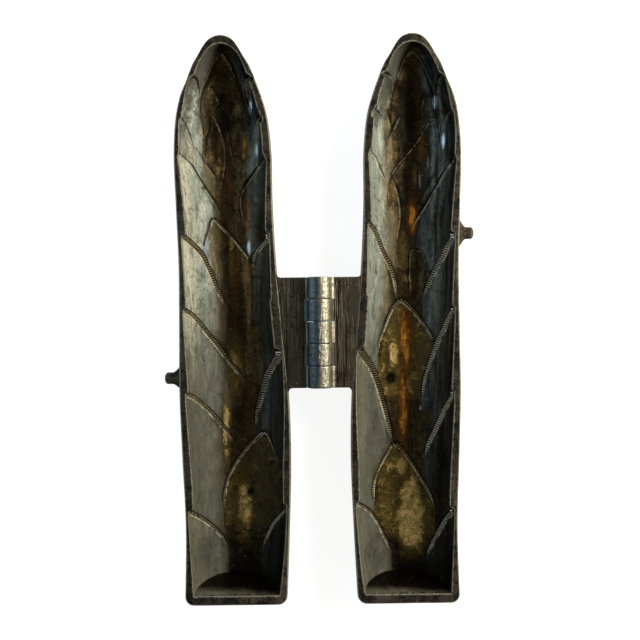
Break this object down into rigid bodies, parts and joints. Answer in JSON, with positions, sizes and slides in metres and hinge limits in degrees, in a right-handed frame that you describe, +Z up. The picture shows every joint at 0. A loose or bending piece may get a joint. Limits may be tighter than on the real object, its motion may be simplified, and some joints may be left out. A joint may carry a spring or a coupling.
{
  "type": "hinged spear mould",
  "caption": "Two-half cast mould for spear-shaped ices or sweets, hinged on one side and opened flat, with bract relief in both cavities.",
  "frame": {"origin": "centre of the open mould in plan, on the surface that both halves rest on", "axes": "+X from the left half to the right half, +Y towards the tips of the spears, +Z up out of the cavities"},
  "size_m": [0.104, 0.1906, 0.0214],
  "materials": {
    "left_shell": "tarnished satin pewter",
    "right_shell": "tarnished satin pewter",
    "left_hinge_leaf": "scratched, dark tarnish",
    "right_hinge_leaf": "scratched, dark tarnish",
    "hinge_pin": "dull steel"
  },
  "bodies": {
    "left_half": {"left_shell": "left_shell", "left_hinge_leaf": "left_hinge_leaf", "hinge_pin": "hinge_pin"},
    "right_half": {"right_shell": "right_shell", "right_hinge_leaf": "right_hinge_leaf"}
  },
  "joints": [
    {"name": "hinge", "type": "hinge", "parent": "left_half", "child": "right_half", "pos_m": [0, -0.0045, 0.01735], "axis": [0, -1, 0], "range_deg": [-95, 180]}
  ]
}
